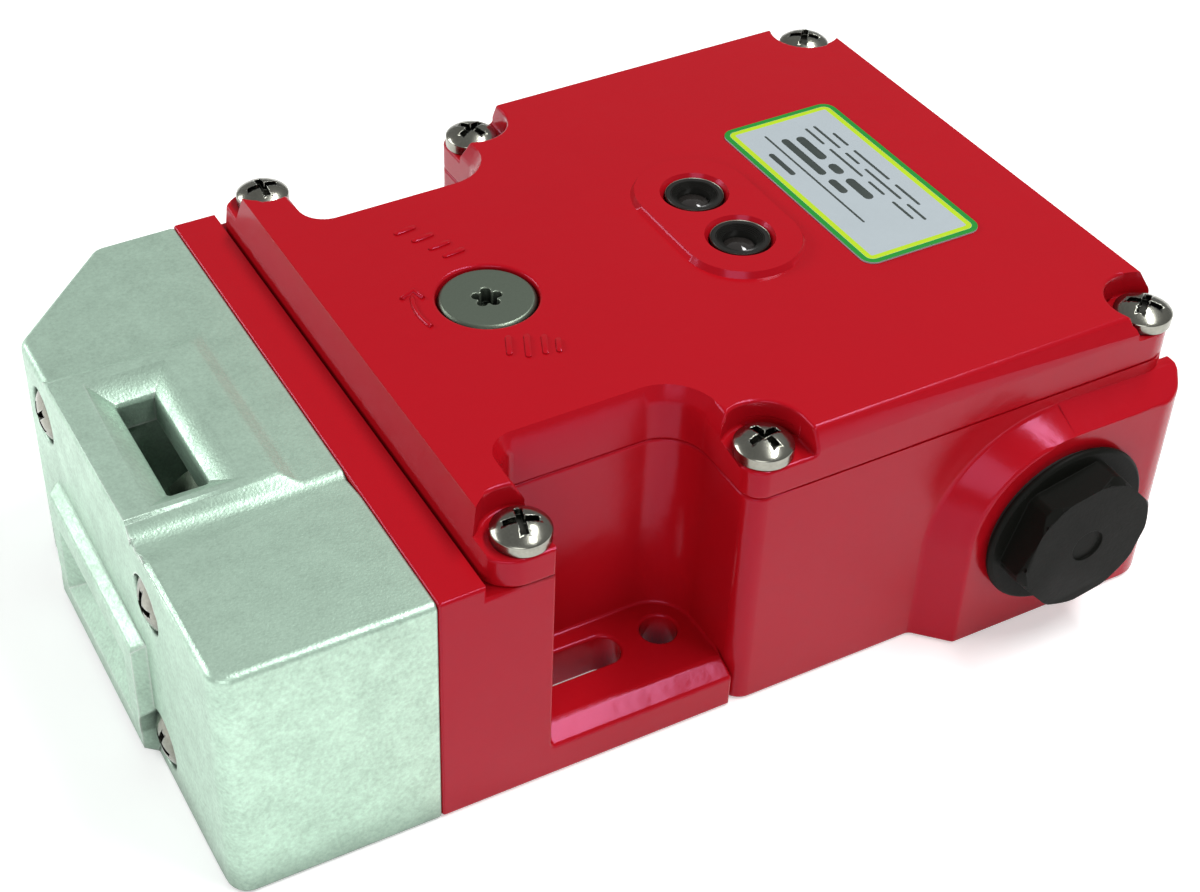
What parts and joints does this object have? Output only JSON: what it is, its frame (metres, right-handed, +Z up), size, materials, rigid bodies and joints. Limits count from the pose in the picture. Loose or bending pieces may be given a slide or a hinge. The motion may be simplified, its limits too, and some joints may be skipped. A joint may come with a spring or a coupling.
{
  "type": "solenoid interlock switch",
  "caption": "Guard locking switch: cast head with two key slots and a turning cam, red base with screwed lid, solenoid bolt, release screw, contact block and blanking plugs.",
  "frame": {"origin": "centre of the mounting face, midway along the overall length", "axes": "+X from the actuator head to the terminal end, +Y across the body, +Z up from the mounting face to the lid"},
  "size_m": [0.149, 0.1126, 0.0465],
  "materials": {
    "red_enamel": "glossy enamel on a die casting",
    "blasted_aluminium": "fine blasted casting",
    "plated_steel": "bright plated",
    "bright_steel": "ground",
    "satin_steel": "satin turned",
    "spring_steel": "drawn wire",
    "bronze": "sintered bronze",
    "brass": "bright",
    "copper_wire": "enamelled copper wire",
    "rubber": "matt",
    "black_plastic": "satin moulded",
    "cream_plastic": "moulded",
    "board_green": "printed board",
    "lens": "dark translucent lens",
    "label_foil": "printed foil, blank"
  },
  "bodies": {
    "housing": {"base_housing": "red_enamel", "lid": "red_enamel", "lid_gasket": "rubber", "lid_screws": "plated_steel", "head_housing": "blasted_aluminium", "head_gasket": "rubber", "head_screws": "plated_steel", "cam_axle": "bright_steel", "axle_keepers": "plated_steel", "plunger_spring": "spring_steel", "guide_bush": "bronze", "armature_spring": "spring_steel", "solenoid_frame": "plated_steel", "solenoid_screws": "bright_steel", "coil_bobbin": "cream_plastic", "coil_winding": "copper_wire", "contact_block": "cream_plastic", "fixed_contacts": "brass", "terminal_screws": "bright_steel", "block_screws": "bright_steel", "lamp_holders": "black_plastic", "lamp_lenses": "lens", "lamp_board": "board_green", "conduit_plugs": "black_plastic", "plug_washers": "rubber", "label": "label_foil", "earth_screw": "brass"},
    "cam": {"cam_rotor": "plated_steel"},
    "plunger": {"plunger_rod": "bright_steel", "contact_carrier": "cream_plastic", "contact_bridges": "brass"},
    "lock": {"lock_bolt": "bright_steel", "lock_plate": "plated_steel", "armature": "bright_steel"},
    "release": {"release_spindle": "satin_steel", "release_seal": "rubber", "release_cam": "plated_steel", "release_clip": "spring_steel"}
  },
  "joints": [
    {"name": "cam_turn", "type": "hinge", "parent": "housing", "child": "cam", "pos_m": [-0.0536, 0, 0.0187], "axis": [0, -1, 0], "range_deg": [0, 50]},
    {"name": "plunger_slide", "type": "slide", "parent": "housing", "child": "plunger", "axis": [1, 0, 0], "range_m": [-0.0048, 0], "deforming": ["plunger_spring"]},
    {"name": "release_turn", "type": "hinge", "parent": "housing", "child": "release", "pos_m": [-0.013, 0, 0.0254], "axis": [0, 0, 1], "range_deg": [0, 180]},
    {"name": "lock_slide", "type": "slide", "parent": "housing", "child": "lock", "axis": [0, 1, 0], "range_m": [-0.0032, 0], "deforming": ["armature_spring"]}
  ],
  "couplings": [
    {"joint": "cam_turn", "follows": "plunger_slide", "rad_per_m": -181.81},
    {"joint": "lock_slide", "follows": "release_turn", "m_per_rad": -0.0010186}
  ]
}
